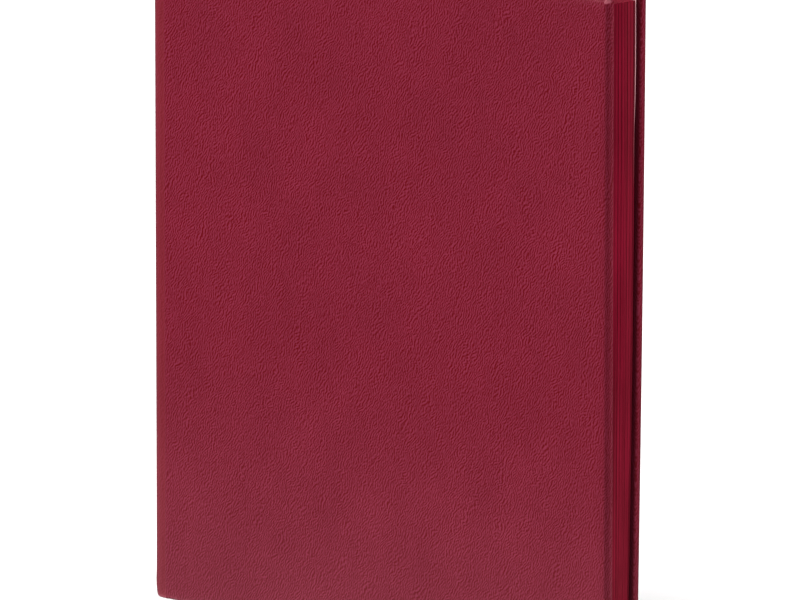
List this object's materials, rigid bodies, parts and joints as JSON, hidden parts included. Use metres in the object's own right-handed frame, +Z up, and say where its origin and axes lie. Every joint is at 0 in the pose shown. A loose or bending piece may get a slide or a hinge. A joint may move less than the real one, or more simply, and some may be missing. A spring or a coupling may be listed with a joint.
{
  "type": "leather notebook",
  "caption": "Leather-covered hardback notebook with edge-dyed sewn pages, covers that open on the spine, and end leaves that turn with them.",
  "frame": {"origin": "middle of the closed book's foot, on the surface it stands on", "axes": "+X from the spine to the fore edge, +Y from the front cover to the back cover, +Z up from tail to head"},
  "size_m": [0.195, 0.016, 0.21],
  "materials": {
    "cover_leather": "burgundy pebbled grain, satin",
    "grey_board": "dense grey card, matt",
    "lining_cloth": "open weave cotton, matt",
    "red_thread": "waxed thread, satin",
    "dyed_pages": "trimmed page edges dyed red, matt",
    "ivory_paper": "smooth uncoated writing paper, matt"
  },
  "bodies": {
    "block": {"spine_leather": "cover_leather", "spine_inlay": "grey_board", "spine_lining": "lining_cloth", "sewing_thread": "red_thread", "head_band": "red_thread", "tail_band": "red_thread", "signature_1": "dyed_pages", "signature_2": "dyed_pages", "signature_3": "dyed_pages", "signature_4": "dyed_pages", "signature_5": "dyed_pages", "signature_6": "dyed_pages", "signature_7": "dyed_pages", "front_guard": "lining_cloth", "back_guard": "lining_cloth"},
    "front_cover": {"front_leather": "cover_leather", "front_board": "grey_board", "front_pastedown": "ivory_paper"},
    "back_cover": {"back_leather": "cover_leather", "back_board": "grey_board", "back_pastedown": "ivory_paper"},
    "front_end_leaf_1": {"front_leaf_1": "ivory_paper"},
    "front_end_leaf_2": {"front_leaf_2": "ivory_paper"},
    "front_end_leaf_3": {"front_leaf_3": "ivory_paper"},
    "back_end_leaf_1": {"back_leaf_1": "ivory_paper"},
    "back_end_leaf_2": {"back_leaf_2": "ivory_paper"},
    "back_end_leaf_3": {"back_leaf_3": "ivory_paper"}
  },
  "joints": [
    {"name": "front_cover_open", "type": "hinge", "parent": "block", "child": "front_cover", "pos_m": [-0.0915, -0.00815, 0.105], "axis": [0, 0, -1], "range_deg": [0, 175]},
    {"name": "back_cover_open", "type": "hinge", "parent": "block", "child": "back_cover", "pos_m": [-0.0915, 0.00815, 0.105], "axis": [0, 0, 1], "range_deg": [0, 175]},
    {"name": "front_leaf_1_turn", "type": "hinge", "parent": "block", "child": "front_end_leaf_1", "pos_m": [-0.09, -0.00537, 0.105], "axis": [0, 0, -1], "range_deg": [0, 88]},
    {"name": "front_leaf_2_turn", "type": "hinge", "parent": "block", "child": "front_end_leaf_2", "pos_m": [-0.09, -0.00507, 0.105], "axis": [0, 0, -1], "range_deg": [0, 63]},
    {"name": "front_leaf_3_turn", "type": "hinge", "parent": "block", "child": "front_end_leaf_3", "pos_m": [-0.09, -0.00477, 0.105], "axis": [0, 0, -1], "range_deg": [0, 39]},
    {"name": "back_leaf_1_turn", "type": "hinge", "parent": "block", "child": "back_end_leaf_1", "pos_m": [-0.09, 0.00537, 0.105], "axis": [0, 0, 1], "range_deg": [0, 88]},
    {"name": "back_leaf_2_turn", "type": "hinge", "parent": "block", "child": "back_end_leaf_2", "pos_m": [-0.09, 0.00507, 0.105], "axis": [0, 0, 1], "range_deg": [0, 63]},
    {"name": "back_leaf_3_turn", "type": "hinge", "parent": "block", "child": "back_end_leaf_3", "pos_m": [-0.09, 0.00477, 0.105], "axis": [0, 0, 1], "range_deg": [0, 39]}
  ],
  "couplings": [
    {"joint": "front_leaf_1_turn", "follows": "front_cover_open", "ratio": 0.5},
    {"joint": "front_leaf_2_turn", "follows": "front_cover_open", "ratio": 0.36},
    {"joint": "front_leaf_3_turn", "follows": "front_cover_open", "ratio": 0.22},
    {"joint": "back_leaf_1_turn", "follows": "back_cover_open", "ratio": 0.5},
    {"joint": "back_leaf_2_turn", "follows": "back_cover_open", "ratio": 0.36},
    {"joint": "back_leaf_3_turn", "follows": "back_cover_open", "ratio": 0.22}
  ]
}
